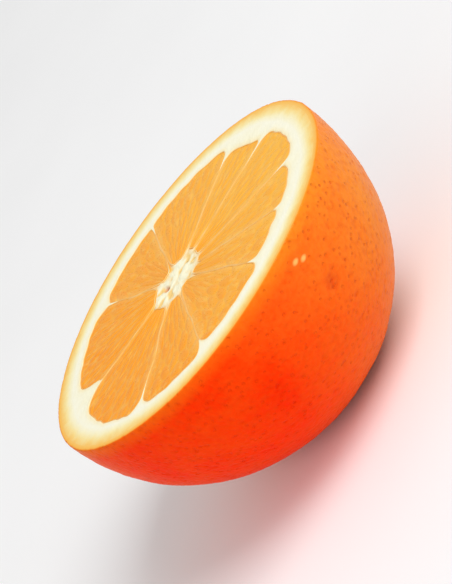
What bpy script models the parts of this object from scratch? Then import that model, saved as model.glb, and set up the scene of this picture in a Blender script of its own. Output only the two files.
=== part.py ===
"""Half of a round orange, cut across its segments, lying on its dome with the cut face up.

It is one solid: a peel and pith dome with ten sunk segments round a star-shaped core, and in
each segment a bed of long juice sacs. Run it with blender --background --python part.py, or
from Blender's text editor. Lengths are in metres and +Z is up. The origin is the middle of the
small flat spot that the dome rests on, and the part of the cut that faces -Y is the near side.
"""

import math
import random

import bmesh
import bpy
from mathutils import Matrix, Vector

MM = 0.001

# The outside, from the cut down to the flat spot
CUT_RADIUS = 38.0 * MM
POLE_DEPTH = 38.4 * MM  # from the cut to where a fully round dome would end
DOME_FULLNESS = 2.1  # superellipse power of the dome's side view; 2 is a half ball
FLAT_SPOT_RADIUS = 6.0 * MM
CUT_EDGE_ROUNDING = 0.5 * MM
DOME_STEPS = 80  # flats round the dome
DOME_RINGS = 13  # rings from the flat spot to the cut's edge
EDGE_STEPS = 2

# How far the fruit is from round, as shares of its radius
OVAL = 0.006
LOPSIDED = 0.016
WAVINESS = 0.003
LOPSIDED_TOWARDS = math.radians(200)

# The pulp, anticlockwise from the first membrane: each segment's width in degrees as seen from
# the core, its tip's distance from the core's centre, and its reach from the middle of the cut
FIRST_MEMBRANE = math.radians(7.5)
SEGMENTS = (
    (25.2, 7.0 * MM, 29.2 * MM),
    (46.0, 5.6 * MM, 31.2 * MM),
    (37.1, 5.0 * MM, 30.8 * MM),
    (59.2, 6.2 * MM, 31.2 * MM),
    (51.0, 6.6 * MM, 32.2 * MM),
    (31.5, 6.6 * MM, 32.2 * MM),
    (32.2, 5.8 * MM, 30.9 * MM),
    (21.6, 6.6 * MM, 28.9 * MM),
    (22.9, 7.0 * MM, 29.8 * MM),
    (33.3, 6.6 * MM, 31.0 * MM),
)
CORE_CENTRE = Vector((-1.9 * MM, 2.2 * MM))
MEMBRANE = 0.45 * MM  # the double skin between two segments
MEMBRANE_FLARE = 0.7 * MM  # how much thicker it is where it leaves the core
FLARE_FADES_IN = 1.6 * MM
SHOULDER_POWER = 8.0  # higher makes a segment's outer corners squarer
TIP_POWER = 5.5
OUTLINE_STEPS = 44
RECESS_DEPTH = 1.6 * MM
CREASE = 0.16 * MM  # gap between the pulp and the skin round it

# Juice sacs, which narrow towards the core and grow longer
SAC_WIDTH = 2.8 * MM  # at SAC_WIDTH_AT from the core
SAC_WIDTH_AT = 20.0 * MM
SAC_SLENDERNESS = 3.0  # length over width there
SAC_SCATTER = 0.26  # of a sac's width
SAC_STEPS = ((0.84, 0.30 * MM), (0.56, 0.17 * MM))  # share of the outline kept, and rise
SAC_UNEVENNESS = 0.25
PULP_LEVEL = -0.62 * MM  # the grooves between sacs, below the cut
BED_ROOT = 0.9 * MM  # how far the bed runs into the bottom of its recess
NEIGHBOURS = 14  # sites near enough to shape a sac
SEED = 41

# The core's small hollow
HOLLOW_CENTRE = Vector((-4.3 * MM, 3.3 * MM))
HOLLOW_RADIUS = 0.75 * MM
HOLLOW_DEPTH = 1.1 * MM
HOLLOW_STRETCH = 1.5

SHARP_ABOVE = math.radians(28)  # edges sharper than this stay crisp

COLOURS = {
    "peel": ((0.94, 0.13, 0.005), 0.42),
    "pith": ((0.94, 0.86, 0.56), 0.70),
    "pulp": ((0.94, 0.42, 0.06), 0.25),
}
MATERIALS = tuple(COLOURS)


def power_of(value, power):
    """value to a power, keeping its sign, as a superellipse needs."""
    return math.copysign(abs(value) ** power, value)


def flat_spot_angle():
    """The angle from the pole at which the dome is as wide as its flat spot."""
    return math.asin((FLAT_SPOT_RADIUS / CUT_RADIUS) ** (DOME_FULLNESS / 2))


def dome_drop(angle):
    """How far below the cut the dome's surface is, at an angle from its pole."""
    return POLE_DEPTH * math.cos(angle) ** (2 / DOME_FULLNESS)


CUT_HEIGHT = dome_drop(flat_spot_angle())


def dome_profile():
    """Side view of the peel as (radius, height) points, from the flat spot up and over the cut's edge."""
    first = flat_spot_angle()
    points = []
    for ring in range(DOME_RINGS):
        angle = first + (math.pi / 2 - first) * ring / DOME_RINGS
        radius = CUT_RADIUS * math.sin(angle) ** (2 / DOME_FULLNESS)
        points.append((radius, CUT_HEIGHT - dome_drop(angle)))
    for step in range(EDGE_STEPS + 1):
        turn = math.pi / 2 * step / EDGE_STEPS
        points.append((
            CUT_RADIUS - CUT_EDGE_ROUNDING * (1 - math.cos(turn)),
            CUT_HEIGHT - CUT_EDGE_ROUNDING * (1 - math.sin(turn)),
        ))
    return points


def unevenness(direction, height):
    """The share by which a real fruit's radius differs from round, at a direction and height."""
    share = height / CUT_HEIGHT
    oval = OVAL * math.cos(2 * direction + 0.5)
    lopsided = LOPSIDED * math.cos(direction - LOPSIDED_TOWARDS) * math.sin(math.pi * share)
    wavy = WAVINESS * math.cos(5 * direction + 3 * share) * math.sin(0.5 * math.pi * share)
    return 1 + oval + lopsided + wavy


def make_materials():
    """One Principled material for each kind of surface."""
    for name, (colour, roughness) in COLOURS.items():
        material = bpy.data.materials.new(name)
        material.use_nodes = True
        shader = material.node_tree.nodes["Principled BSDF"]
        shader.inputs["Base Color"].default_value = (*colour, 1)
        shader.inputs["Roughness"].default_value = roughness
        shader.inputs["Metallic"].default_value = 0
        material.diffuse_color = (*colour, 1)


def object_from(bm, name, material):
    """A mesh object with all three materials, and its faces given the one that is named."""
    for face in bm.faces:
        face.material_index = MATERIALS.index(material)
    mesh = bpy.data.meshes.new(name)
    bm.to_mesh(mesh)
    bm.free()
    for each in MATERIALS:
        mesh.materials.append(bpy.data.materials[each])
    obj = bpy.data.objects.new(name, mesh)
    bpy.context.scene.collection.objects.link(obj)
    return obj


def make_dome():
    """The peel and pith as one solid dome, its top face pith."""
    bm = bmesh.new()
    verts = [bm.verts.new((radius, 0, height)) for radius, height in dome_profile()]
    edges = [bm.edges.new(pair) for pair in zip(verts, verts[1:])]
    bmesh.ops.spin(
        bm, geom=verts + edges, cent=(0, 0, 0), axis=(0, 0, 1),
        angle=2 * math.pi, steps=DOME_STEPS, use_merge=True,
    )
    for vert in bm.verts:
        scale = unevenness(math.atan2(vert.co.y, vert.co.x), vert.co.z)
        vert.co.x *= scale
        vert.co.y *= scale
    rims = [edge for edge in bm.edges if edge.is_boundary]
    bmesh.ops.holes_fill(bm, edges=rims, sides=0)
    bmesh.ops.recalc_face_normals(bm, faces=bm.faces)
    dome = object_from(bm, "orange_half", "peel")
    top = max(dome.data.polygons, key=lambda face: face.center.z)
    top.material_index = MATERIALS.index("pith")
    return dome


def reach_along(direction, reach):
    """Distance from the core to a circle of that reach round the middle of the cut."""
    along = CORE_CENTRE.x * math.cos(direction) + CORE_CENTRE.y * math.sin(direction)
    return -along + math.sqrt(along**2 - CORE_CENTRE.length_squared + reach**2)


def half_skin(distance):
    """Half the thickness of the skin between two segments, at a distance from the core's centre."""
    past_core = max(0.0, distance - min(tip for _, tip, _ in SEGMENTS))
    return (MEMBRANE + MEMBRANE_FLARE * math.exp(-past_core / FLARE_FADES_IN)) / 2


def segment_outline(middle, half_width, tip, reach, crease):
    """A segment's outline as (direction, distance) seen from the core, anticlockwise.

    It is a rectangle with rounded corners in direction and distance, which makes a wedge with
    full shoulders and a blunt tip. Half a skin comes off each side.
    """
    points = []
    for step in range(OUTLINE_STEPS):
        turn = 2 * math.pi * (step + 0.5) / OUTLINE_STEPS
        corner = 2 / (SHOULDER_POWER if math.sin(turn) > 0 else TIP_POWER)
        across = power_of(math.cos(turn), corner)
        outwards = power_of(math.sin(turn), corner)
        inner = tip + crease
        outer = reach_along(middle + across * half_width, reach) - crease
        distance = (inner + outer) / 2 + outwards * (outer - inner) / 2
        skin = math.asin((half_skin(distance) + crease) / distance)
        points.append((middle + across * (half_width - skin), distance))
    return points


def on_the_cut(direction, distance, height=0.0):
    """A point on the cut, from its direction and distance as seen from the core."""
    x = CORE_CENTRE.x + distance * math.cos(direction)
    y = CORE_CENTRE.y + distance * math.sin(direction)
    return Vector((x, y, CUT_HEIGHT + height))


def each_segment():
    """(direction of its middle, half its width, its tip, its reach) for every segment in turn."""
    start = FIRST_MEMBRANE
    for width, tip, reach in SEGMENTS:
        half = math.radians(width) / 2
        yield start + half, half, tip, reach
        start += 2 * half


def make_recesses():
    """Cutter that sinks the ten segments into the top of the dome."""
    bm = bmesh.new()
    for segment in each_segment():
        outline = segment_outline(*segment, crease=0.0)
        verts = [bm.verts.new(on_the_cut(*point, -RECESS_DEPTH)) for point in outline]
        floor = bm.faces.new(verts)
        raised = bmesh.ops.extrude_face_region(bm, geom=[floor])["geom"]
        lift = [item for item in raised if isinstance(item, bmesh.types.BMVert)]
        bmesh.ops.translate(bm, verts=lift, vec=(0, 0, 2 * RECESS_DEPTH))
    bmesh.ops.recalc_face_normals(bm, faces=bm.faces)
    return object_from(bm, "recesses", "pith")


def unrolled(direction, distance, middle):
    """The cut with its rays made parallel and squeezed lengthwise, most near the core, so that
    sacs are about as long as wide."""
    lengthwise = distance**2 / (2 * SAC_SLENDERNESS * SAC_WIDTH_AT)
    return Vector(((direction - middle) * SAC_WIDTH_AT, lengthwise, 0))


def rolled_up(point, middle):
    """Back from unrolled coordinates to a place on the cut, at the level of the grooves."""
    distance = math.sqrt(2 * SAC_SLENDERNESS * SAC_WIDTH_AT * point.y)
    return on_the_cut(middle + point.x / SAC_WIDTH_AT, distance, PULP_LEVEL)


def sac_sites(outline, rng):
    """Staggered, slightly scattered middles of the sacs over the box round an unrolled outline."""
    low_x, high_x = min(p.x for p in outline), max(p.x for p in outline)
    low_y, high_y = min(p.y for p in outline), max(p.y for p in outline)
    columns = max(2, round((high_x - low_x) / SAC_WIDTH))
    rows = math.ceil((high_y - low_y) / SAC_WIDTH) + 1
    across = (high_x - low_x) / columns
    sites = []
    for column in range(columns):
        for row in range(rows):
            stagger = 0.5 * (column % 2)
            x = low_x + (column + 0.5 + rng.uniform(-1, 1) * SAC_SCATTER) * across
            y = low_y + (row + stagger + rng.uniform(-1, 1) * SAC_SCATTER) * SAC_WIDTH
            sites.append(Vector((x, y, 0)))
    return sites


def add_sac_cell(bed, outline, site, sites):
    """Cuts the outline down to the points nearer this site than any other, and adds it to the bed."""
    cell = bmesh.new()
    cell.faces.new([cell.verts.new(point) for point in outline])
    nearest = sorted(sites, key=lambda other: (other - site).length)[1:NEIGHBOURS]
    for other in nearest:
        bmesh.ops.bisect_plane(
            cell, geom=[*cell.verts, *cell.edges, *cell.faces],
            plane_co=(site + other) / 2, plane_no=other - site, clear_outer=True,
        )
    for face in cell.faces:
        bed.faces.new([bed.verts.new(vert.co) for vert in face.verts])
    cell.free()


def raise_sacs(bed, cells, rng):
    """Turns each cell into a low cushion, in steps that each keep a share of its outline."""
    for face in cells:
        centre = face.calc_center_median()
        height = 1 + SAC_UNEVENNESS * rng.uniform(-1, 1)
        for kept, rise in SAC_STEPS:
            face = bmesh.ops.extrude_discrete_faces(bed, faces=[face])["faces"][0]
            bmesh.ops.scale(
                bed, verts=face.verts, vec=(kept, kept, 1), space=Matrix.Translation(-centre)
            )
            bmesh.ops.translate(bed, verts=face.verts, vec=(0, 0, rise * height))


def make_pulp_bed(number, segment, rng):
    """The sacs of one segment on a plinth that roots them in the recess."""
    middle = segment[0]
    outline = [unrolled(*point, middle) for point in segment_outline(*segment, CREASE)]
    sites = sac_sites(outline, rng)
    bed = bmesh.new()
    for site in sites:
        add_sac_cell(bed, outline, site, sites)
    bmesh.ops.remove_doubles(bed, verts=bed.verts, dist=0.02 * MM)
    for vert in bed.verts:
        vert.co = rolled_up(vert.co, middle)
    cells = list(bed.faces)
    plinth = bmesh.ops.extrude_face_region(bed, geom=cells, use_keep_orig=True)["geom"]
    sunk = [item for item in plinth if isinstance(item, bmesh.types.BMVert)]
    drop = RECESS_DEPTH + BED_ROOT + PULP_LEVEL
    bmesh.ops.translate(bed, verts=sunk, vec=(0, 0, -drop))
    underside = [item for item in plinth if isinstance(item, bmesh.types.BMFace)]
    bmesh.ops.dissolve_faces(bed, faces=underside)
    bmesh.ops.recalc_face_normals(bed, faces=bed.faces)
    raise_sacs(bed, cells, rng)
    return object_from(bed, f"pulp_bed_{number}", "pulp")


def make_hollow():
    """Cutter for the core's hollow, a stretched ball that dips below the cut."""
    bm = bmesh.new()
    place = Matrix.Translation((*HOLLOW_CENTRE, CUT_HEIGHT))
    stretch = Matrix.Diagonal((1, HOLLOW_STRETCH, HOLLOW_DEPTH / HOLLOW_RADIUS, 1))
    bmesh.ops.create_icosphere(bm, subdivisions=2, radius=HOLLOW_RADIUS, matrix=place @ stretch)
    return object_from(bm, "hollow", "pith")


def combine(target, others, operation):
    """Cuts the others from the target, or joins them to it, and removes them."""
    collection = bpy.data.collections.new(operation.lower())
    for other in others:
        collection.objects.link(other)
    modifier = target.modifiers.new(operation.title(), "BOOLEAN")
    modifier.operation = operation
    modifier.solver = "EXACT"
    modifier.operand_type = "COLLECTION"
    modifier.collection = collection
    graph = bpy.context.evaluated_depsgraph_get()
    result = bpy.data.meshes.new_from_object(target.evaluated_get(graph))
    target.modifiers.clear()
    target.data = result
    for other in others:
        bpy.data.objects.remove(other)
    bpy.data.collections.remove(collection)


def main():
    for obj in list(bpy.data.objects):
        bpy.data.objects.remove(obj)
    make_materials()
    orange = make_dome()
    combine(orange, [make_recesses(), make_hollow()], "DIFFERENCE")
    rng = random.Random(SEED)
    beds = [make_pulp_bed(n, segment, rng) for n, segment in enumerate(each_segment(), 1)]
    combine(orange, beds, "UNION")
    orange.data.shade_smooth()
    orange.data.set_sharp_from_angle(angle=SHARP_ABOVE)
    print(f"{orange.name}: {sum(len(p.vertices) - 2 for p in orange.data.polygons)} triangles")


main()
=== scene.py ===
# %% [markdown]
# Half an orange, dressed.
#
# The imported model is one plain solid. This lesson builds what the eye sees of it, as five kinds of
# piece: the coloured peel, the white pith, the thin skins of the segments, their pulp, and the
# core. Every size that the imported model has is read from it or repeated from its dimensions, so
# that each piece sits where the solid is.

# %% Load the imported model
import math
import random

import bmesh
import bpy
from mathutils import Matrix, Vector, noise


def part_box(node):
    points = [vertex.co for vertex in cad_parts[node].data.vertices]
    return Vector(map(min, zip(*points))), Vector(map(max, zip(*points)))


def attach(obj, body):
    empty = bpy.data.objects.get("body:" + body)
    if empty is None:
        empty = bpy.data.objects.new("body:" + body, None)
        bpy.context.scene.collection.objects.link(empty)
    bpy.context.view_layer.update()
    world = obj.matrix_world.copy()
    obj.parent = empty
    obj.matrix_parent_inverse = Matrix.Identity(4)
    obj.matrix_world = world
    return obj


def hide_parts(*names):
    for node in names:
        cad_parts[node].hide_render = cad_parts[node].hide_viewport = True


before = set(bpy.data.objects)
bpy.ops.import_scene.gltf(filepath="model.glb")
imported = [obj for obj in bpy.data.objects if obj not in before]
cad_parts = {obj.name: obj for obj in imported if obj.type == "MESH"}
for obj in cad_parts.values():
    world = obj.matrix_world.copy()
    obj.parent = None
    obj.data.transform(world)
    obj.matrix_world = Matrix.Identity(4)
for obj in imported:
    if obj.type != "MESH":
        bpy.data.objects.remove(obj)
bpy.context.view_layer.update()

MM = 0.001

low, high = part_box("orange_half")
cut_height = high.z
cut_radius = (high.x - low.x + high.y - low.y) / 4
print(f"the cut is {2 * cut_radius / MM:.1f} mm across and {cut_height / MM:.1f} mm up")

# %% [markdown]
# The outside of the fruit.
#
# A real orange is close to a ball, a little oval and a little lopsided. The dome could be a scaled
# sphere, but its side view is fuller than a circle, so it follows a superellipse, and the radius
# swells and shrinks by one or two hundredths with the direction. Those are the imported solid's own
# numbers. One function answers the only question that the pieces ask: where does a ray from the
# middle of the cut meet the surface, or a layer that lies some way under it?

# %% Where the surface of the dome is
DOME_FULLNESS = 2.1
FLAT_SPOT_RADIUS = 6.0 * MM
OVAL = 0.006
OVAL_TURN = 0.5
LOPSIDED = 0.016
LOPSIDED_TOWARDS = math.radians(200)
WAVINESS = 0.003
WAVES = 5
WAVES_TWIST = 3

flat_angle = math.asin((FLAT_SPOT_RADIUS / cut_radius) ** (DOME_FULLNESS / 2))
pole_depth = cut_height / math.cos(flat_angle) ** (2 / DOME_FULLNESS)


def unevenness(around, height):
    """The share by which the radius differs from round, at a direction and a height."""
    share = height / cut_height
    oval = OVAL * math.cos(2 * around + OVAL_TURN)
    lopsided = LOPSIDED * math.cos(around - LOPSIDED_TOWARDS) * math.sin(math.pi * share)
    waves = WAVINESS * math.cos(WAVES * around + WAVES_TWIST * share)
    return 1 + oval + lopsided + waves * math.sin(0.5 * math.pi * share)


def direction_of(point):
    """The direction of a point, seen from above the middle of the cut."""
    return math.atan2(point.y, point.x)


def ray_at(around, from_below=math.pi / 2):
    """A ray from the middle of the cut, by its direction and its angle from straight down."""
    level = math.sin(from_below)
    return Vector((math.cos(around) * level, math.sin(around) * level, -math.cos(from_below)))


def dome_point(ray, inward=0.0):
    """Where a ray from the middle of the cut meets the layer that lies so far inside the skin."""
    from_below = math.atan2(math.hypot(ray.x, ray.y), max(0.0, -ray.z))
    around = direction_of(ray)
    layer = 1 - inward / cut_radius
    radius = layer * cut_radius * math.sin(from_below) ** (2 / DOME_FULLNESS)
    drop = layer * pole_depth * math.cos(from_below) ** (2 / DOME_FULLNESS)
    height = max(cut_height - drop, inward)
    radius *= unevenness(around, height)
    return Vector((radius * math.cos(around), radius * math.sin(around), height))


print(f"the dome would be {pole_depth / MM:.1f} mm deep without its flat spot")

# %% [markdown]
# The texture of the peel.
#
# Orange peel is dimpled: under the skin sit oil glands, and over each the skin sinks into a pit.
# Between the pits it swells into low pebbles. The texture could be painted on as a bump, but then
# the outline would stay smooth, so it is a height for each point of the skin. Scattered points,
# each with a pit round it, give the pits, and a Voronoi pattern is just such a scatter. It runs
# through space and the skin cuts it at random depths, so some pits come out deep and some barely
# show, as on the fruit. The shallow dent on the near side, which the photograph shows, is in it too.

# %% Pits, pebbles and the dent
PIT_SPACING = 1.75 * MM
PIT_RADIUS = 0.50 * MM
PIT_DEPTH = 0.20 * MM
PEBBLE_FULL_AT = 0.5
PEBBLE_RISE = 0.10 * MM
SWELL_SIZE = 8.0 * MM
SWELL_RISE = 0.10 * MM
DENT_RAY = Vector((13.9 * MM, -34.0 * MM, -11.6 * MM))
DENT_RADIUS = 1.9 * MM
DENT_DEPTH = 0.35 * MM

dent_centre = dome_point(DENT_RAY)


def pit_at(point):
    """How deep in a pit a point of the skin is, from 0 to 1, and how high on a pebble."""
    nearest, second = noise.voronoi(point / PIT_SPACING)[0][:2]
    pit = math.exp(-((nearest * PIT_SPACING / PIT_RADIUS) ** 2))
    return pit, min(1.0, (second - nearest) / PEBBLE_FULL_AT)


def peel_relief(point):
    """The height of the real skin over the smooth dome at a point."""
    pit, pebble = pit_at(point)
    swell = noise.noise(point / SWELL_SIZE)
    dent = math.exp(-(((point - dent_centre).length / DENT_RADIUS) ** 2))
    return PEBBLE_RISE * pebble + SWELL_RISE * swell - PIT_DEPTH * pit - DENT_DEPTH * dent


print("the dent is at", [round(c / MM, 1) for c in dent_centre], "mm")

# %% [markdown]
# The plan of the cut.
#
# Ten segments lie round the core like slices of a cake, no two alike. They could be copies of one
# wedge, but the eye sees at once that no real orange is so even. Each is given by its width in
# degrees as seen from the core, where its tip starts, and how far it reaches from the middle of
# the cut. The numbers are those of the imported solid. The notches are added: places where the pith
# reaches in between two segments, each with its direction and width in degrees and its depth.

# %% The segments and the notches
FIRST_MEMBRANE = math.radians(7.5)
SEGMENTS = (
    (25.2, 7.0 * MM, 29.2 * MM),
    (46.0, 5.6 * MM, 31.2 * MM),
    (37.1, 5.0 * MM, 30.8 * MM),
    (59.2, 6.2 * MM, 31.2 * MM),
    (51.0, 6.6 * MM, 32.2 * MM),
    (31.5, 6.6 * MM, 32.2 * MM),
    (32.2, 5.8 * MM, 30.9 * MM),
    (21.6, 6.6 * MM, 28.9 * MM),
    (22.9, 7.0 * MM, 29.8 * MM),
    (33.3, 6.6 * MM, 31.0 * MM),
)
NOTCHES = (
    (172.5, 6.5, 4.5 * MM),
    (182.0, 15.0, 1.1 * MM),
    (115.8, 4.0, 1.6 * MM),
    (226.0, 3.5, 1.2 * MM),
    (257.5, 2.5, 1.3 * MM),
    (289.7, 2.5, 1.1 * MM),
    (32.7, 3.0, 1.2 * MM),
    (7.5, 2.2, 0.8 * MM),
    (20.0, 9.0, 0.5 * MM),
    (334.2, 3.0, 0.8 * MM),
)

# each segment: the direction of its middle, half its width, where its tip starts, its reach
segments = []
start = FIRST_MEMBRANE
for width, tip, reach in SEGMENTS:
    half = math.radians(width) / 2
    segments.append((start + half, half, tip, reach))
    start += 2 * half
nearest_tip = min(tip for _, _, tip, _ in segments)
print(f"{len(segments)} segments, {math.degrees(start - FIRST_MEMBRANE):.0f} degrees in all")

# %% [markdown]
# Places seen from the core.
#
# A segment is easiest to draw by direction and distance from the core, because its sides run along
# rays. Two small wanderings then take the ruled look away: a slow sideways bend of the skins, and
# a ragged outer edge with its notches. Both come from noise, and both fade out towards the core.

# %% From direction and distance to a place on the cut
CORE_CENTRE = Vector((-1.9 * MM, 2.2 * MM))
RAGGED_SIZE = 2.2 * MM
RAGGED_DEPTH = 0.45 * MM
BEND = 0.9 * MM
BEND_SIZE = 9.0 * MM
BEND_TURNS = 1.7
BEND_FROM, BEND_TO = 7.0 * MM, 26.0 * MM


def seen_from_core(direction, distance, height=0.0):
    """A point on or near the cut, from its direction and distance as seen from the core."""
    x = CORE_CENTRE.x + distance * math.cos(direction)
    y = CORE_CENTRE.y + distance * math.sin(direction)
    return Vector((x, y, cut_height + height))


def rim_shift(direction):
    """How far the ragged edge of the pulp lies beyond its even line, less than 0 in a notch."""
    shift = RAGGED_DEPTH * noise.noise(seen_from_core(direction, BEND_TO) / RAGGED_SIZE)
    for towards, width, depth in NOTCHES:
        off = (math.degrees(direction) - towards + 180) % 360 - 180
        shift -= depth * math.exp(-((off / width) ** 2))
    return shift


def on_the_cut(direction, distance, height=0.0):
    """A point of a segment on the cut, with the bend of the skins and the ragged edge put in."""
    part = max(0.0, min(1.0, (distance - BEND_FROM) / (BEND_TO - BEND_FROM)))
    eased = part**2 * (3 - 2 * part)
    ray = Vector((math.cos(direction), math.sin(direction), 0))
    sideways = noise.noise(ray * BEND_TURNS + Vector((0, 0, distance / BEND_SIZE)))
    bent = direction + BEND * sideways * math.sin(math.pi * part) / distance
    return seen_from_core(bent, distance + eased * rim_shift(bent), height)


def reach_along(direction, reach):
    """Distance from the core to the even edge of the pulp, for a reach from the middle."""
    along = CORE_CENTRE.x * math.cos(direction) + CORE_CENTRE.y * math.sin(direction)
    return -along + math.sqrt(along**2 - CORE_CENTRE.length_squared + reach**2)


deepest = min(rim_shift(math.radians(degrees)) for degrees in range(360))
print(f"the deepest notch reaches {-deepest / MM:.1f} mm in")

# %% [markdown]
# The outline of a segment.
#
# A wedge with three sharp corners would look cut from paper. The real one has full shoulders at
# the rind and a rounder tip, so its outline is a square with rounded corners, drawn in direction
# and distance, which bends it into a wedge. A high power makes square corners, a lower one round.

# %% Drawing a segment
MEMBRANE = 0.45 * MM
MEMBRANE_FLARE = 0.7 * MM
FLARE_FADES_IN = 1.6 * MM
OVERLAP = 0.03 * MM
SHOULDER_POWER = 13.0
TIP_POWER = 5.5
SIDE_STEPS = 40
OUTLINE_STEPS = 4 * SIDE_STEPS


def half_skin(distance):
    """Half the thickness of the double skin between two segments, at a distance from the core."""
    past_core = max(0.0, distance - nearest_tip)
    return (MEMBRANE + MEMBRANE_FLARE * math.exp(-past_core / FLARE_FADES_IN)) / 2


def segment_outline(segment, inset, share=0.0):
    """
    The outline of a segment as (direction, distance) seen from the core, side by side.

    share goes from 0 on the inside of the segment's own skin to 1 midway between two segments.
    """
    middle, half, tip, reach = segment
    points = []
    for step in range(OUTLINE_STEPS):
        side, along = divmod(step, SIDE_STEPS)
        along = 2 * along / SIDE_STEPS - 1
        across, outwards = ((1, along), (-along, 1), (-1, -along), (along, -1))[side]
        power = SHOULDER_POWER if outwards > 0 else TIP_POWER
        size = (abs(across) ** power + abs(outwards) ** power) ** (1 / power)
        across /= size
        outwards /= size
        inner = tip + inset
        outer = reach_along(middle + across * half, reach) - inset
        distance = (inner + outer) / 2 + outwards * (outer - inner) / 2
        skin = math.asin(((1 - share) * half_skin(distance) + max(inset, -OVERLAP)) / distance)
        points.append((middle + across * (half - skin), distance))
    return points


ends = [distance for _, distance in segment_outline(segments[0], 0.0)]
print(f"the first segment runs from {min(ends) / MM:.1f} to {max(ends) / MM:.1f} mm from the core")

# %% [markdown]
# Rings of vertices.
#
# The peel, the pith, the skins and the core are all bands round a middle. Such a band could be
# typed out as vertices and faces, but it is shorter and safer to grow it from one ring of edges:
# extrude the ring, move the new vertices, and repeat. The helper does one such step, and leaves
# where each vertex goes to a small function.

# %% Growing a band ring by ring
def verts_of(ring):
    """The vertices of a ring of edges, each once."""
    return {vert for edge in ring for vert in edge.verts}


def next_ring(bm, ring, place):
    """Extrudes a ring of edges, puts each new vertex where place(vertex) says, returns the new ring."""
    made = bmesh.ops.extrude_edge_only(bm, edges=ring)["geom"]
    fresh = {item for item in made if isinstance(item, bmesh.types.BMVert)}
    for vert in fresh:
        vert.co = place(vert)
    return [
        item for item in made
        if isinstance(item, bmesh.types.BMEdge) and all(vert in fresh for vert in item.verts)
    ]


def piece_from(bm, name, material):
    """A smooth-shaded object at the origin, from a finished bmesh."""
    bmesh.ops.recalc_face_normals(bm, faces=bm.faces)
    mesh = bpy.data.meshes.new(name)
    bm.to_mesh(mesh)
    bm.free()
    mesh.materials.append(material)
    mesh.shade_smooth()
    piece = bpy.data.objects.new(name, mesh)
    bpy.context.scene.collection.objects.link(piece)
    print(f"{name}: {sum(len(face.vertices) - 2 for face in mesh.polygons)} triangles")
    return piece


# %% [markdown]
# Building materials out of nodes.
#
# Each finish is a small network of shader nodes, worked out from object coordinates or from values
# stored on the vertices. It could be wired by hand in the editor, but a script can be read and
# changed. One helper adds a node, sets its properties, and fills or links its inputs. Two more are
# short names for sums that come up again and again.

# %% Adding a node, and two common sums
def add_node(tree, kind, feeds=None, **settings):
    """A new node, with its inputs set to values or linked to other nodes' sockets."""
    node = tree.nodes.new(kind)
    for name, value in settings.items():
        setattr(node, name, value)
    for name, value in (feeds or {}).items():
        if isinstance(value, bpy.types.NodeSocket):
            tree.links.new(value, node.inputs[name])
        else:
            node.inputs[name].default_value = value
    return node


def rescale(tree, value, start, end, low=0.0, high=1.0):
    """A value from start to end, stretched to run from low to high and kept between them."""
    feeds = {"Value": value, "From Min": start, "From Max": end, "To Min": low, "To Max": high}
    return add_node(tree, "ShaderNodeMapRange", feeds).outputs["Result"]


def calculate(tree, operation, first, second):
    """One sum on two values."""
    return add_node(tree, "ShaderNodeMath", {0: first, 1: second}, operation=operation).outputs[0]


# %% [markdown]
# Three effects that several finishes share.
#
# The first is plain unevenness, a soft noise whose size is given in millimetres. The second tells
# the grooves of the cut from its flats, by height alone: the finishes paint shade into the grooves
# with it. The third is how the colour of the rind turns with depth: orange in the outer skin with
# its oil glands, then yellow, then the cream of the pith. The peel and the pith both take their
# colour from it, so no line shows where the two pieces meet. Each could be built again in every
# material. As node groups they are built once, and every material places them with values of its own.

# %% Node group for unevenness
NOISE_LOW, NOISE_HIGH = 0.3, 0.7


def new_group(name, inputs, output):
    """An empty node group with named sockets, and its input and output nodes."""
    group = bpy.data.node_groups.new(name, "ShaderNodeTree")
    for socket_name, kind in inputs.items():
        group.interface.new_socket(socket_name, in_out="INPUT", socket_type=kind)
    group.interface.new_socket(output[0], in_out="OUTPUT", socket_type=output[1])
    return group, group.nodes.new("NodeGroupInput"), group.nodes.new("NodeGroupOutput")


def use_group(tree, group, **feeds):
    """A shared node group, placed with its own values."""
    return add_node(tree, "ShaderNodeGroup", feeds, node_tree=group).outputs[0]


uneven, group_in, group_out = new_group(
    "unevenness",
    {"Place": "NodeSocketVector", "Size": "NodeSocketFloat", "Detail": "NodeSocketFloat"},
    ("Amount", "NodeSocketFloat"),
)
per_metre = calculate(uneven, "DIVIDE", 1 / MM, group_in.outputs["Size"])
pattern = add_node(
    uneven, "ShaderNodeTexNoise",
    {"Vector": group_in.outputs["Place"], "Scale": per_metre, "Detail": group_in.outputs["Detail"]},
)
amount = rescale(uneven, pattern.outputs["Fac"], NOISE_LOW, NOISE_HIGH)
uneven.links.new(amount, group_out.inputs["Amount"])
print("node group", uneven.name)

# %% Node group for how deep in a groove of the cut a point lies, for painted shade
GROOVE_STARTS, GROOVE_IS_FULL = -0.05 * MM, -0.13 * MM

shade_below_cut, group_in, group_out = new_group(
    "shade_below_cut", {"Place": "NodeSocketVector"}, ("Amount", "NodeSocketFloat")
)
levels = add_node(shade_below_cut, "ShaderNodeSeparateXYZ", {0: group_in.outputs["Place"]}).outputs
amount = rescale(shade_below_cut, levels["Z"], cut_height + GROOVE_STARTS, cut_height + GROOVE_IS_FULL)
shade_below_cut.links.new(amount, group_out.inputs["Amount"])
print("node group", shade_below_cut.name)

# %% Node group for the colour of the rind, by depth in millimetres
RIND_COLOURS = (
    (0.0, (0.900, 0.350, 0.032)),
    (0.5, (0.922, 0.490, 0.095)),
    (1.5, (0.932, 0.620, 0.175)),
    (2.5, (0.937, 0.755, 0.320)),
    (3.5, (0.942, 0.870, 0.560)),
    (4.7, (0.945, 0.925, 0.755)),
    (8.0, (0.945, 0.912, 0.690)),
)
rind_depth = RIND_COLOURS[-1][0]

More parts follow.
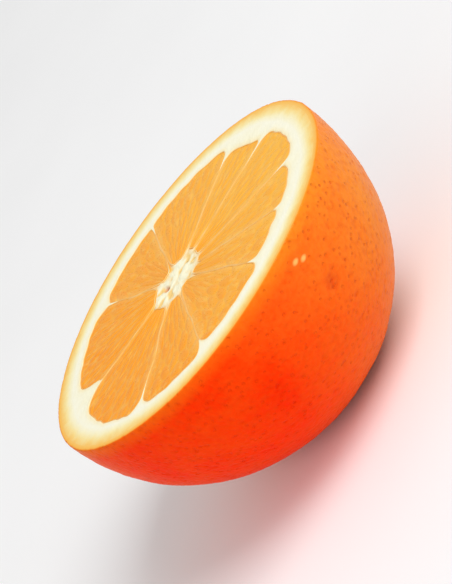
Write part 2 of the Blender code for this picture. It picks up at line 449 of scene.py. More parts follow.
rind_colour, group_in, group_out = new_group(
    "rind_colour", {"Depth": "NodeSocketFloat"}, ("Color", "NodeSocketColor")
)
share = rescale(rind_colour, group_in.outputs["Depth"], 0.0, rind_depth)
ramp = add_node(rind_colour, "ShaderNodeValToRGB", {"Fac": share})
for depth, colour in RIND_COLOURS[1:-1]:
    ramp.color_ramp.elements.new(depth / rind_depth)
for element, (depth, colour) in zip(ramp.color_ramp.elements, RIND_COLOURS):
    element.color = (*colour, 1)
rind_colour.links.new(ramp.outputs["Color"], group_out.inputs["Color"])
print("node group", rind_colour.name, "over", rind_depth, "mm")

# %% [markdown]
# From a material's start to its end.
#
# Every finish starts with a Principled shader and the object's coordinates, and ends with a colour,
# a roughness and a bump. Written out in each, these would hide what is special about it, so one
# helper opens a material and another closes it. In between, a recipe multiplies, measures, mixes,
# and reads what the mesh holds for each vertex.

# %% Opening and closing a material
def multiply(tree, first, second):
    """The product of two values."""
    return calculate(tree, "MULTIPLY", first, second)


def measure(tree, operation, place, other):
    """One number from two vectors, such as the distance between two places."""
    feeds = {0: place, 1: other}
    return add_node(tree, "ShaderNodeVectorMath", feeds, operation=operation).outputs["Value"]


def mix_colours(tree, factor, first, second):
    """The first colour where the factor is 0, and the second where it is 1."""
    feeds = {0: factor, 6: first, 7: second}
    return add_node(tree, "ShaderNodeMix", feeds, data_type="RGBA").outputs[2]


def stored(tree, name, output="Fac"):
    """A value that the mesh holds for each vertex."""
    return add_node(tree, "ShaderNodeAttribute", attribute_name=name).outputs[output]


def new_material(name, **constants):
    """A material and its tree, Principled shader and object coordinates."""
    material = bpy.data.materials.new(name)
    material.use_nodes = True
    tree = material.node_tree
    shader = tree.nodes["Principled BSDF"]
    for socket, value in constants.items():
        shader.inputs[socket.replace("_", " ")].default_value = value
    place = add_node(tree, "ShaderNodeTexCoord").outputs["Object"]
    return material, tree, shader, place


def connect(tree, shader, colour, roughness, height, depth):
    """Feeds colour, roughness and a bump, in which a height of 1 stands for the depth given."""
    bump = add_node(tree, "ShaderNodeBump", {"Height": height, "Distance": depth, "Strength": 1.0})
    tree.links.new(colour, shader.inputs["Base Color"])
    tree.links.new(roughness, shader.inputs["Roughness"])
    tree.links.new(bump.outputs["Normal"], shader.inputs["Normal"])


# %% [markdown]
# The finish of the peel.
#
# The skin is a waxy red-orange. Painted light and shade lie on it: lighter and yellower towards
# the side where the light falls, deeper and redder on the shaded side, and a painted sheen along
# the cut. A single colour would look like plastic. The recipe starts with two oranges, a shaded and
# a lit one, mixed mostly by the side that a point lies on, which is painted light and shade, and a
# little by a slow unevenness, which is the skin's own tone. What can't be seen in the photograph,
# at the left and at the back, is held between the two, so the half looks the same fruit from
# everywhere.

# %% Two oranges, painted light and shade from side to side
DEEP_SHADED_ORANGE = (0.95, 0.020, 0.0, 1)
LIGHT_LIT_ORANGE = (0.84, 0.240, 0.012, 1)
SHEEN_ORANGE_BY_CUT = (0.88, 0.245, 0.009, 1)
LIT_SIDE_TOWARDS = Vector((0.81, 0.56, 0.15))
LIT_SIDE_FROM, LIT_SIDE_TO = -22 * MM, 17 * MM
LEAST_RISES_FROM, LEAST_RISES_TO, LEAST_AT_BACK = -18 * MM, 8 * MM, 0.42
MOST_FALLS_FROM, MOST_FALLS_TO, MOST_AT_BACK = -8 * MM, 20 * MM, 0.50
SLOW_SHARE, LIT_SIDE_SHARE = 0.12, 0.88
SHEEN_BAND_BY_CUT = 3.3 * MM
SHEEN_BAND_STRENGTH = 0.80
SHEEN_ON_DEEP_SIDE, SHEEN_FULL_AT_SIDE = 0.50, 0.6

peel_finish, tree, shader, place = new_material(
    "peel", Specular_IOR_Level=0.02, Specular_Tint=(1.0, 0.45, 0.12, 1)
)
slow = use_group(tree, uneven, Place=place, Size=9.0, Detail=2.0)
split = add_node(tree, "ShaderNodeSeparateXYZ", {0: place}).outputs
# side is painted light and shade: 0 on the shaded side, where the orange is deep, 1 on the lit side
side = measure(tree, "DOT_PRODUCT", place, LIT_SIDE_TOWARDS)
side = rescale(tree, side, LIT_SIDE_FROM, LIT_SIDE_TO)
least = rescale(tree, split["Y"], LEAST_RISES_FROM, LEAST_RISES_TO, 0.0, LEAST_AT_BACK)
side = calculate(tree, "MAXIMUM", side, least)
most = rescale(tree, split["Y"], MOST_FALLS_FROM, MOST_FALLS_TO, 1.0, MOST_AT_BACK)
side = calculate(tree, "MINIMUM", side, most)
blend = calculate(tree, "ADD", multiply(tree, slow, SLOW_SHARE), multiply(tree, side, LIT_SIDE_SHARE))
skin_colour = mix_colours(tree, blend, DEEP_SHADED_ORANGE, LIGHT_LIT_ORANGE)

# painted sheen: a paler orange along the cut, stronger on the lit side
painted_sheen_by_cut = rescale(tree, split["Z"], cut_height - SHEEN_BAND_BY_CUT, cut_height, 0.0, SHEEN_BAND_STRENGTH)
towards_light = rescale(tree, side, 0.0, SHEEN_FULL_AT_SIDE, SHEEN_ON_DEEP_SIDE, 1.0)
painted_sheen_by_cut = multiply(tree, painted_sheen_by_cut, towards_light)
skin_colour = mix_colours(tree, painted_sheen_by_cut, skin_colour, SHEEN_ORANGE_BY_CUT)
print("finish", peel_finish.name)

# %% [markdown]
# Pits, pores and mottling.
#
# The pits are darkened to a redder colour, which is painted shade in them, and between them lie
# pores that are too small to model. A second, finer Voronoi pattern gives those as darker dots,
# partly the glands' own colour and partly painted shade, stronger on the lit side, where they show,
# and in patches.
# Last comes a fine brownish mottling, which is what the eye takes for the grain of the skin.

# %% Pores and mottling
PORE_AND_PIT_SHADE_RED = (0.60, 0.020, 0.0, 1)
PORE_SPACING = 1.35 * MM
PORE_RADIUS = 0.36 * MM
PORES_ON_DEEP_SIDE, PORES_ON_LIGHT_SIDE = 0.16, 0.58
PATCH_FROM, PATCH_FULL = 0.2, 0.9
PORES_BETWEEN_PATCHES = 0.25
PIT_PAINTED_SHADE = 0.25
MOTTLE_BROWN = (0.60, 0.060, 0.002, 1)
MOTTLES_FROM, MOTTLE_STRENGTH = 0.45, 0.30
MOTTLES_ON_DEEP_SIDE, MOTTLES_FULL_AT_SIDE = 0.40, 0.8

pit = stored(tree, "pit")
pores = add_node(tree, "ShaderNodeTexVoronoi", {"Vector": place, "Scale": 1 / PORE_SPACING})
pore_edge = PORE_RADIUS / PORE_SPACING
pore = rescale(tree, pores.outputs["Distance"], 0.5 * pore_edge, pore_edge, 1.0, 0.0)
patches = use_group(tree, uneven, Place=place, Size=3.2, Detail=2.0)
patches = rescale(tree, patches, PATCH_FROM, PATCH_FULL, PORES_BETWEEN_PATCHES, 1.0)
pore_strength = rescale(tree, side, 0.0, 1.0, PORES_ON_DEEP_SIDE, PORES_ON_LIGHT_SIDE)
pore_strength = multiply(tree, pore_strength, patches)
pore_colour = multiply(tree, pore, pore_strength)
# painted shade in the pits, and the pores' dots, partly their own colour and partly painted shade
pore_dots_and_pit_shade = calculate(tree, "MAXIMUM", multiply(tree, pit, PIT_PAINTED_SHADE), pore_colour)
skin_colour = mix_colours(tree, pore_dots_and_pit_shade, skin_colour, PORE_AND_PIT_SHADE_RED)

mottling = use_group(tree, uneven, Place=place, Size=1.3, Detail=3.0)
mottling = rescale(tree, mottling, MOTTLES_FROM, 1.0, 0.0, MOTTLE_STRENGTH)
towards_light = rescale(tree, side, 0.0, MOTTLES_FULL_AT_SIDE, MOTTLES_ON_DEEP_SIDE, 1.0)
mottling = multiply(tree, mottling, towards_light)
skin_colour = mix_colours(tree, mottling, skin_colour, MOTTLE_BROWN)
print(f"pores of {PORE_RADIUS / MM:.2f} mm, one every {PORE_SPACING / MM:.2f} mm")

# %% [markdown]
# The marks on the near side.
#
# The photograph shows two: the shallow dent, reddish in its middle, and a pair of pale specks just
# under the cut, each a short stroke. They could be small pieces stuck on; here they are pale colour
# by distance from a point. Squeezing the coordinates turns a dot into a stroke.

# %% The dent's colour and the pale specks
DENT_RED = (0.64, 0.026, 0.002, 1)
DENT_FULL_TO, DENT_FADED_AT = 0.3 * MM, 2.5 * MM
DENT_STRENGTH, DENT_WHERE_WEAK = 0.80, 0.6
SPECK_CREAM = (0.92, 0.47, 0.13, 1)
SPECK_FULL_TO, SPECK_FADED_AT = 0.22 * MM, 0.60 * MM
SPECK_STRENGTH = 0.92
SPECK_SQUEEZE = Vector((0.55, 1.0, 1.0))
PALE_SPECKS = (
    Vector((12.7 * MM, -35.8 * MM, -3.2 * MM)),
    Vector((14.1 * MM, -35.4 * MM, -4.2 * MM)),
)

from_dent = measure(tree, "DISTANCE", place, dent_centre)
dent = rescale(tree, from_dent, DENT_FULL_TO, DENT_FADED_AT, DENT_STRENGTH, 0.0)
dent = multiply(tree, dent, rescale(tree, slow, 0.0, 1.0, DENT_WHERE_WEAK, 1.0))
skin_colour = mix_colours(tree, dent, skin_colour, DENT_RED)

squeezed = add_node(
    tree, "ShaderNodeVectorMath", {0: place, 1: SPECK_SQUEEZE}, operation="MULTIPLY"
).outputs["Vector"]
for ray in PALE_SPECKS:
    from_speck = measure(tree, "DISTANCE", squeezed, dome_point(ray) * SPECK_SQUEEZE)
    speck = rescale(tree, from_speck, SPECK_FULL_TO, SPECK_FADED_AT, SPECK_STRENGTH, 0.0)
    skin_colour = mix_colours(tree, speck, skin_colour, SPECK_CREAM)
print(f"one dent and {len(PALE_SPECKS)} specks")

# %% [markdown]
# The painted glints and the cut edge of the peel, its gloss and its bump.
#
# Yellow flecks, stronger on the lit side, are painted glints on the pebbles. Where the knife went
# through, the skin's colour gives way to the rind's own, by the depth that is stored on the
# vertices. The wax is a thin coat on the lighter side only, where the photograph has its sheen. The
# bump is a fine grain with the pores sunk in, and it fades on the cut edge.

# %% Painted glints, cut edge, gloss and bump
GLINT_YELLOW = (0.93, 0.30, 0.03, 1)
GLINTS_ON_DEEP_SIDE, GLINTS_ON_LIGHT_SIDE = 0.05, 0.30
CUT_SHOWS_FROM, CUT_SHOWS_ALL = 0.02, 0.30
COAT = 0.15
GRAIN_RISE = 0.55
BUMP_ON_CUT = 0.2
PEEL_BUMP = 0.14 * MM
PEEL_ROUGHNESS = (0.34, 0.46)

fine = use_group(tree, uneven, Place=place, Size=0.9, Detail=3.0)
# painted glints: yellow flecks on the pebbles, stronger on the lit side
painted_glints = rescale(tree, side, 0.0, 1.0, GLINTS_ON_DEEP_SIDE, GLINTS_ON_LIGHT_SIDE)
painted_glints = multiply(tree, fine, painted_glints)
skin_colour = mix_colours(tree, painted_glints, skin_colour, GLINT_YELLOW)

depth = stored(tree, "depth")
cut_through = rescale(tree, depth, CUT_SHOWS_FROM, CUT_SHOWS_ALL)
colour = mix_colours(tree, cut_through, skin_colour, use_group(tree, rind_colour, Depth=depth))
tree.links.new(multiply(tree, side, COAT), shader.inputs["Coat Weight"])
height = calculate(tree, "SUBTRACT", multiply(tree, fine, GRAIN_RISE), pore)
uncut = rescale(tree, cut_through, 0.0, 1.0, 1.0, BUMP_ON_CUT)
roughness = rescale(tree, fine, 0.0, 1.0, *PEEL_ROUGHNESS)
connect(tree, shader, colour, roughness, multiply(tree, height, uncut), PEEL_BUMP)
print(f"the peel's bump is {PEEL_BUMP / MM:.2f} mm deep")

# %% [markdown]
# The peel.
#
# Over seventy thousand even faces are needed before a pit two millimetres from the next can be
# modelled rather than painted. A ball with poles wastes them where they crowd together, so this one
# starts as a cube: its faces are divided into a fine grid and blown up to the dome, and the half
# above the cut is sliced off. A tangent evens out the faces, which would else be small in the
# cube's corners.

# %% A cube blown up to the dome
GRID_STEPS = 156
ON_THE_PLANE = 1e-5


def blow_up_dome(bm):
    """Turns a cube into a half ball, then into the dome with its pits, and stores the pits."""
    bmesh.ops.create_cube(bm, size=2)
    bmesh.ops.subdivide_edges(bm, edges=bm.edges, cuts=GRID_STEPS - 1, use_grid_fill=True)
    bmesh.ops.bisect_plane(
        bm, geom=[*bm.verts, *bm.edges, *bm.faces], plane_co=(0, 0, 0), plane_no=(0, 0, 1),
        dist=ON_THE_PLANE, clear_outer=True,
    )
    pit_layer = bm.verts.layers.float.new("pit")
    for vert in bm.verts:
        ray = Vector([math.tan(c * math.pi / 4) for c in vert.co]).normalized()
        smooth = dome_point(ray)
        vert[pit_layer] = pit_at(smooth)[0]
        vert.co = smooth + ray * peel_relief(smooth)
        vert.co.z = max(vert.co.z, 0.0)


print(f"a face of the grid is about {math.pi / 2 * cut_radius / GRID_STEPS / MM:.2f} mm wide")

# %% [markdown]
# From the dome to a closed shell.
#
# A knife leaves the skin with a small rounded lip, a flat edge, and the white pith behind it. The
# open edge of the dome grows, ring by ring, over the lip, across the cut and down an inner wall,
# until the skin is a closed shell, because a piece that is open at the back has no inside. The
# rings of the flat lie close together at its inner end: they keep the shading flat up to there, so
# that no seam shows between the peel and the pith.

# %% Lip, cut edge and inner wall
PEEL_THICKNESS = 1.1 * MM
# how far in from the skin, and the height over the cut
LIP = ((0.0, -0.26 * MM), (0.07 * MM, -0.08 * MM), (0.25 * MM, -0.01 * MM))
CUT_LEVEL = -0.02 * MM
CUT_RINGS = (
    (0.45 * MM, CUT_LEVEL), (0.75 * MM, CUT_LEVEL), (1.05 * MM, CUT_LEVEL), (1.08 * MM, CUT_LEVEL),
    (PEEL_THICKNESS, -0.10 * MM),
)
INNER_RINGS = 12
INNER_ENDS_AT = math.radians(10)


def towards_pulp(old, inward, height):
    """A point on the cut, so far in from a point on its outer edge, in line with the core."""
    across = Vector((CORE_CENTRE.x - old.x, CORE_CENTRE.y - old.y, 0)).normalized()
    return Vector((old.x, old.y, cut_height + height)) + across * inward


def inner_wall(bm, ring, inward):
    """Grows a ring down a layer of the dome to its flat bottom, and closes it there."""
    for step in range(1, INNER_RINGS + 1):
        from_below = math.pi / 2 + (INNER_ENDS_AT - math.pi / 2) * step / INNER_RINGS
        ring = next_ring(
            bm, ring, lambda vert: dome_point(ray_at(direction_of(vert.co), from_below), inward)
        )
    bmesh.ops.holes_fill(bm, edges=ring, sides=0)


def make_peel():
    """The peel as a closed shell, with its pits and its depth in millimetres on the vertices."""
    bm = bmesh.new()
    blow_up_dome(bm)
    depth_layer = bm.verts.layers.float.new("depth")
    pit_layer = bm.verts.layers.float["pit"]
    ring = [edge for edge in bm.edges if edge.is_boundary]
    for vert in verts_of(ring):
        vert.co.z = cut_height + LIP[0][1]
    walked = 0.0
    for inward, height in (*LIP[1:], *CUT_RINGS):
        step = inward - walked
        walked = inward
        ring = next_ring(bm, ring, lambda vert: towards_pulp(vert.co, step, height))
        for vert in verts_of(ring):
            vert[depth_layer] = inward / MM
            vert[pit_layer] = 0.0
    inner_wall(bm, ring, PEEL_THICKNESS)
    return piece_from(bm, "peel", peel_finish)


peel = make_peel()

# %% [markdown]
# Where the pith ends.
#
# Under the coloured skin lies the white pith, with its inner edge scalloped where the shoulders of
# the segments press into it, and a point between each two. The edge could be drawn by eye, but it
# has to fit the segments all round, so it is worked out from them: one function gives the distance
# from the core to their far end, for the pith, or to their near end, for the core.

# %% Where the segments begin and end, seen from the core
SKIN = 0.17 * MM
NOTCH_SHARE = 0.55
ARM_SHARE = 0.66
HAIRSBREADTH = 1e-6


def edge_of_segments(direction, outer):
    """Distance from the core's centre to the near or far end of the segments in a direction."""
    for middle, half, tip, reach in segments:
        off = (direction - middle + math.pi) % (2 * math.pi) - math.pi
        if abs(off) <= half + HAIRSBREADTH:
            break
    inner_end = tip - SKIN
    outer_end = reach_along(direction, reach) + SKIN
    end = outer_end if outer else inner_end
    shoulder = half - math.asin(max(0.0, half_skin(end) - SKIN) / end)
    power = SHOULDER_POWER if outer else TIP_POWER
    across = min(1.0, abs(off) / shoulder)
    share = max((1 - across**power) ** (1 / power), NOTCH_SHARE if outer else ARM_SHARE)
    centre = (inner_end + outer_end) / 2
    return centre + share * (end - centre) + (rim_shift(direction) if outer else 0.0)


notch = edge_of_segments(FIRST_MEMBRANE, True)
print(f"at the first membrane the pith points in to {notch / MM:.1f} mm from the core")

# %% [markdown]
# The finish of the pith.
#
# Pith is spongy and matt, cream rather than white, and yellower beside the pulp, where juice has
# soaked in. Plain white would look like plaster. The rind's own colour by depth comes first, with
# the depth made to wander a little so that its bands aren't ruled, then a few faint stains, and last
# painted shade, a darker orange, in the grooves beside the pulp.

# %% Finish of the pith
OLD_CREAM = (0.93, 0.82, 0.46, 1)
SOAKED_YELLOW = (0.94, 0.74, 0.33, 1)
GROOVE_SHADE_ORANGE = (0.95, 0.44, 0.03, 1)
DEPTH_WANDERS = 0.25
CREAM_SHARE = 0.16
SOAKED = 0.55
GROOVE_SHADE_STRENGTH = 1.8
PITH_BUMP = 0.05 * MM
PITH_ROUGHNESS = (0.55, 0.75)

pith_finish, tree, shader, place = new_material("pith", Specular_IOR_Level=0.3)
slow = use_group(tree, uneven, Place=place, Size=2.6, Detail=2.0)
fine = use_group(tree, uneven, Place=place, Size=0.45, Detail=3.0)
wandering = rescale(tree, slow, 0.0, 1.0, -DEPTH_WANDERS, DEPTH_WANDERS)
wandering = calculate(tree, "ADD", stored(tree, "depth"), wandering)
colour = use_group(tree, rind_colour, Depth=wandering)
colour = mix_colours(tree, multiply(tree, slow, CREAM_SHARE), colour, OLD_CREAM)
near_pulp = multiply(tree, stored(tree, "near_pulp"), SOAKED)
colour = mix_colours(tree, near_pulp, colour, SOAKED_YELLOW)
# painted shade: a darker orange in the grooves beside the pulp
pith_groove_shade = multiply(tree, near_pulp, use_group(tree, shade_below_cut, Place=place))
colour = mix_colours(tree, multiply(tree, pith_groove_shade, GROOVE_SHADE_STRENGTH), colour, GROOVE_SHADE_ORANGE)
connect(tree, shader, colour, rescale(tree, fine, 0.0, 1.0, *PITH_ROUGHNESS), fine, PITH_BUMP)
print("finish", pith_finish.name)

# %% [markdown]
# The pith.
#
# It fills the peel, and the pulp sits in a round well in its top. A disc with the segments cut out
# by a Boolean would give the plan, but its faces would be long slivers that shade badly. A ring
# that grows from the skin towards the core has even ones: each vertex heads for the core's centre
# and stops where the segments begin. A slow swell keeps the flat from looking machined.

# %% The pith, a ring that grows inwards
PITH_STEPS = 640
WELL_DEPTH = 3.0 * MM
PITH_UNDER_PEEL = 0.15 * MM
PITH_START = -0.07 * MM
PITH_LEVEL = -0.012 * MM
# share of the way from the peel to the pulp, and the height over the cut
PITH_RIM = ((0.004, -0.024 * MM), (0.008, -0.021 * MM))
PITH_RINGS = (0.03, 0.10, 0.18, 0.26, 0.34, 0.42, 0.50, 0.58, 0.66, 0.74, 0.81, 0.87, 0.92, 0.96)
PITH_LIP = ((0.99, -0.07 * MM), (1.0, -0.16 * MM), (1.0, -0.6 * MM), (1.0, -WELL_DEPTH))
PITH_SWELL = 0.06 * MM
PITH_SWELL_SIZE = 2.0 * MM
SWELL_FULL_AT = 0.25
WALL_GAP = 0.05 * MM


def make_pith():
    """The pith as a closed ring-shaped cup, with its depth and nearness to the pulp stored."""
    bm = bmesh.new()
    depth_layer = bm.verts.layers.float.new("depth")
    pulp_layer = bm.verts.layers.float.new("near_pulp")
    under_skin = PEEL_THICKNESS - PITH_UNDER_PEEL
    for vert in bmesh.ops.create_circle(bm, segments=PITH_STEPS, radius=1)["verts"]:
        edge = dome_point(ray_at(direction_of(vert.co)))
        vert.co = towards_pulp(edge, under_skin, PITH_START)
        vert[depth_layer] = under_skin / MM
    outer_ring = list(bm.edges)
    ring = outer_ring
    walked = 0.0
    for share, height in (*PITH_RIM, *((share, PITH_LEVEL) for share in PITH_RINGS), *PITH_LIP):
        part = (share - walked) / (1 - walked) if walked < 1 else 0.0
        walked = share

        def across_pith(vert):
            from_core = vert.co.to_2d() - CORE_CENTRE
            direction = direction_of(from_core)
            goal = edge_of_segments(direction, True)
            distance = from_core.length + (goal - from_core.length) * part
            place = seen_from_core(direction, distance, height)
            if share < 1:
                swell = PITH_SWELL * min(1.0, share / SWELL_FULL_AT)
                place.z += swell * noise.noise(place / PITH_SWELL_SIZE)
            return place

        ring = next_ring(bm, ring, across_pith)
        for vert in verts_of(ring):
            edge = dome_point(ray_at(direction_of(vert.co)))
            vert[depth_layer] = (edge.to_2d().length - vert.co.to_2d().length) / MM
            # from 0 at four fifths of the way to 1 at the pulp
            vert[pulp_layer] = max(0.0, 5 * share - 4)
    bmesh.ops.holes_fill(bm, edges=ring, sides=0)
    inner_wall(bm, outer_ring, PEEL_THICKNESS + WALL_GAP)
    return piece_from(bm, "pith", pith_finish)


pith = make_pith()

# %% [markdown]
# The finish of the skins.
# A segment's skin is thick and cream near the core, and further out so thin that the orange of the
# pulp shows through. See-through faces would do that and render slowly, so the finish goes from
# cream to orange with distance from the core instead, unevenly. In the grooves it turns a darker
# orange, which is painted shade.

# %% Finish of the skins
SKIN_ORANGE = (0.91, 0.44, 0.06, 1)
CREAM_TO, THIN_FROM = 5.0 * MM, 9.5 * MM
CREAM_WHERE_THIN = 0.31
CREAM_BETWEEN_PATCHES = 0.15
SKIN_BUMP = 0.02 * MM
SKIN_ROUGHNESS = (0.32, 0.48)

core_place = (CORE_CENTRE.x, CORE_CENTRE.y, cut_height)
skin_finish, tree, shader, place = new_material("segment_skin", Specular_IOR_Level=0.4)
from_core = measure(tree, "DISTANCE", place, core_place)
paleness = rescale(tree, from_core, CREAM_TO, THIN_FROM, 1.0, CREAM_WHERE_THIN)
patchy = use_group(tree, uneven, Place=place, Size=3.0, Detail=2.0)
patchy = rescale(tree, patchy, 0.0, 1.0, CREAM_BETWEEN_PATCHES, 1.0)
paleness = multiply(tree, paleness, patchy)
colour = mix_colours(tree, paleness, SKIN_ORANGE, OLD_CREAM)
# painted shade: a darker orange in the grooves below the cut
colour = mix_colours(tree, use_group(tree, shade_below_cut, Place=place), colour, GROOVE_SHADE_ORANGE)
fine = use_group(tree, uneven, Place=place, Size=0.5, Detail=2.0)
connect(tree, shader, colour, rescale(tree, fine, 0.0, 1.0, *SKIN_ROUGHNESS), fine, SKIN_BUMP)
print("finish", skin_finish.name)

# %% [markdown]
# The skins of the segments.
#
# Every segment has a skin of its own, thin as paper, so between two segments the knife meets two
# skins, back to back: the pale lines of the cut. They could be lines painted on the pulp, but from
# a low angle they stand a hair proud, so each is a low closed wall round its segment. The wall
# grows from the outline of the segment along a small profile, given as the share of the skin's
# thickness and the height, and back to its start.

# %% The skins, ten low walls
FLOOR_GAP = 0.02 * MM
SKIN_TOP = -0.03 * MM
SKIN_FOOT = -WELL_DEPTH + FLOOR_GAP
# share of the way out through the skin, and the height over the cut
SKIN_PROFILE = (
    (1.0, SKIN_FOOT), (1.0, SKIN_TOP - 0.06 * MM), (0.80, SKIN_TOP), (0.25, SKIN_TOP),
    (0.0, SKIN_TOP - 0.05 * MM), (0.0, SKIN_FOOT), (1.0, SKIN_FOOT),
)
SAME_PLACE = 0.001 * MM


def make_skin(number, segment):
    """A closed wall round one segment. The circle that it is grown from is taken away again."""
    bm = bmesh.new()
    step = bm.verts.layers.int.new("step")
    circle = bmesh.ops.create_circle(bm, segments=OUTLINE_STEPS, radius=1)["verts"]
    for index, vert in enumerate(circle):
        vert[step] = index
    ring = list(bm.edges)
    for share, height in SKIN_PROFILE:
        outline = segment_outline(segment, -SKIN * share, share)
        ring = next_ring(bm, ring, lambda vert: on_the_cut(*outline[vert[step]], height))
    bmesh.ops.delete(bm, geom=circle, context="VERTS")
    bmesh.ops.remove_doubles(bm, verts=bm.verts, dist=SAME_PLACE)
    return piece_from(bm, f"segment_skin_{number}", skin_finish)


skins = [make_skin(number, segment) for number, segment in enumerate(segments, 1)]

# %% [markdown]
# The sacs of the pulp.
#
# Each segment is packed with juice sacs: spindles that grow in from the rind, blunt outside and
# drawn out to a thread at the core. The knife slices them lengthwise. A scatter of points, each
# claiming the room nearest to it, divides a segment much as the sacs do, if it is done where the
# wedge is unrolled to a rectangle and squeezed: rolled back, the cells are short near the rind and
# long near the core.

# %% Unrolling a segment
SAC_WIDTH = 1.75 * MM
SAC_WIDTH_AT = 20.0 * MM
SAC_SLENDERNESS = 3.6
PULP_LEVEL = -0.17 * MM


def unrolled(direction, distance, middle):
    """The cut with its rays made parallel and squeezed lengthwise, most near the core."""
    lengthwise = distance**2 / (2 * SAC_SLENDERNESS * SAC_WIDTH_AT)
    return Vector(((direction - middle) * SAC_WIDTH_AT, lengthwise, 0))


def unrolled_distance(point):
    """How far from the core an unrolled point lies on the cut."""
    return math.sqrt(2 * SAC_SLENDERNESS * SAC_WIDTH_AT * max(0.0, point.y))


def rolled_up(point, middle):
    """Back from unrolled coordinates to a place on the cut, at the level of the grooves."""
    return on_the_cut(middle + point.x / SAC_WIDTH_AT, unrolled_distance(point), PULP_LEVEL)


sac_length = SAC_SLENDERNESS * SAC_WIDTH
print(f"{SAC_WIDTH_AT / MM:.0f} mm from the core a sac is about {sac_length / MM:.1f} mm long")

# %% [markdown]
# Cutting out the cells.
#
# The room nearest to a point has straight sides, each half way to a neighbour. Bisecting a copy of
# the whole outline once for every neighbour leaves just that, and the outline's own edge where the
# cell lies at the skin. The sites stand in staggered columns, each pushed a little off its place.

# %% Dividing a segment into sacs
SAC_SCATTER = 0.30
NEIGHBOURS = 15


def sac_sites(outline, rng):
    """Staggered, scattered middles of the sacs over the box round an unrolled outline."""
    low_x, high_x = min(p.x for p in outline), max(p.x for p in outline)
    low_y, high_y = min(p.y for p in outline), max(p.y for p in outline)
    columns = max(3, round((high_x - low_x) / SAC_WIDTH))
    rows = math.ceil((high_y - low_y) / SAC_WIDTH) + 1
    across = (high_x - low_x) / columns
    sites = []
    for column in range(columns):
        for row in range(rows):
            stagger = 0.5 * (column % 2)
            x = low_x + (column + 0.5 + rng.uniform(-1, 1) * SAC_SCATTER) * across
            y = low_y + (row + stagger + rng.uniform(-1, 1) * SAC_SCATTER) * SAC_WIDTH
            sites.append(Vector((x, y, 0)))
    return sites


def add_sac_cell(bed, outline, site, sites):
    """Cuts the outline down to what lies nearer this site than any other, and adds it to the bed."""
    cell = bmesh.new()
    disc = bmesh.ops.create_circle(cell, cap_ends=True, segments=len(outline), radius=1)["verts"]
    for vert, point in zip(disc, outline):
        vert.co = point
    nearest = sorted(sites, key=lambda other: (other - site).length)[1:NEIGHBOURS + 1]
    for other in nearest:
        bmesh.ops.bisect_plane(
            cell, geom=[*cell.verts, *cell.edges, *cell.faces],
            plane_co=(site + other) / 2, plane_no=other - site, clear_outer=True,
        )
    # no operator copies faces into another bmesh
    for face in cell.faces:
        bed.faces.new([bed.verts.new(vert.co) for vert in face.verts])
    cell.free()


print(f"{NEIGHBOURS} neighbours are asked for each sac")

# %% [markdown]
# Swelling the sacs.
#
# A cut sac is a low cushion, fullest along its middle. Each cell swells in three steps that each
# keep a share of its outline, and a subdivision surface rounds it. Four values stay on the
# vertices for the finish: how far up its sac a point is, the sac's own tone, the unrolled place,
# along which the fibres run, and how near the skin is. The last two are drawn in with the outline,
# or the pattern would be stretched on the sides of the cushion.

# %% From flat cells to cushions
# share of the outline kept, rise, and fullness
SAC_STEPS = ((0.88, 0.068 * MM, 0.7), (0.60, 0.042 * MM, 1.0), (0.25, 0.017 * MM, 1.0))
SAC_UNEVENNESS = 0.25


def raise_sacs(bed, cells, rng):
    """Turns each cell into a low cushion, and stores its fullness and tone."""
    fullness = bed.verts.layers.float["fullness"]
    tone = bed.verts.layers.float["tone"]
    along = bed.verts.layers.float_vector["unrolled"]
    near_skin = bed.verts.layers.float["near_skin"]
    for face in cells:
        centre = face.calc_center_median()
        middle = sum((vert[along] for vert in face.verts), Vector()) / len(face.verts)
        nearness = sum(vert[near_skin] for vert in face.verts) / len(face.verts)
        fullsize = min(1.0, math.sqrt(face.calc_area()) / SAC_WIDTH)
        height = fullsize * (1 + SAC_UNEVENNESS * rng.uniform(-1, 1))
        own_tone = rng.uniform(-1, 1)
        for kept, rise, full in SAC_STEPS:
            face = bmesh.ops.extrude_discrete_faces(bed, faces=[face])["faces"][0]
            bmesh.ops.scale(
                bed, verts=face.verts, vec=(kept, kept, 1), space=Matrix.Translation(-centre)
            )
            bmesh.ops.translate(bed, verts=face.verts, vec=(0, 0, rise * height))
            for vert in face.verts:
                vert[fullness] = full
                vert[tone] = own_tone
                vert[along] = middle.lerp(vert[along], kept)
                vert[near_skin] = nearness + (vert[near_skin] - nearness) * kept


print(f"a full sac rises {sum(rise for _, rise, _ in SAC_STEPS) / MM:.2f} mm")

# %% [markdown]
# The finish of the pulp.
#
# Pulp glows, because light goes in and comes out again. Glass-like sacs would need a slow render,
# so the glow is in the colours: a deep orange and a yellow one, mixed by the sac's own tone, by
# streaks along it, and by a painted light that makes the whole cut lighter towards one side. Pale
# threads, the cream of the skin beside it and lighter grooves come on top, and a wet, finely
# fibrous surface.

# %% Finish of the pulp
PULP_ORANGE = (0.94, 0.290, 0.001, 1)
PULP_YELLOW = (0.95, 0.520, 0.055, 1)
THREAD_CREAM = (0.95, 0.66, 0.18, 1)
SKIN_SHOWING = (0.95, 0.66, 0.20, 1)
GROOVE_YELLOW = (0.95, 0.52, 0.06, 1)
TONE_LOW, TONE_HIGH = 0.05, 0.45
STREAKS = 0.4
SAC_SHARE, PAINTED_LIGHT_SHARE = 0.4, 0.6
PULP_LIT_FROM, PULP_LIT_TO = -20 * MM, 34 * MM
THREADS_FROM, THREADS_FULL, THREAD_STRENGTH = 0.62, 0.95, 0.27
SHOWING_FROM, SHOWING_STRENGTH = 0.1, 0.32
GROOVE_STRENGTH, GROOVE_ENDS_AT = 0.35, 0.45
PULP_BUMP = 0.02 * MM
PULP_ROUGHNESS = (0.24, 0.40)

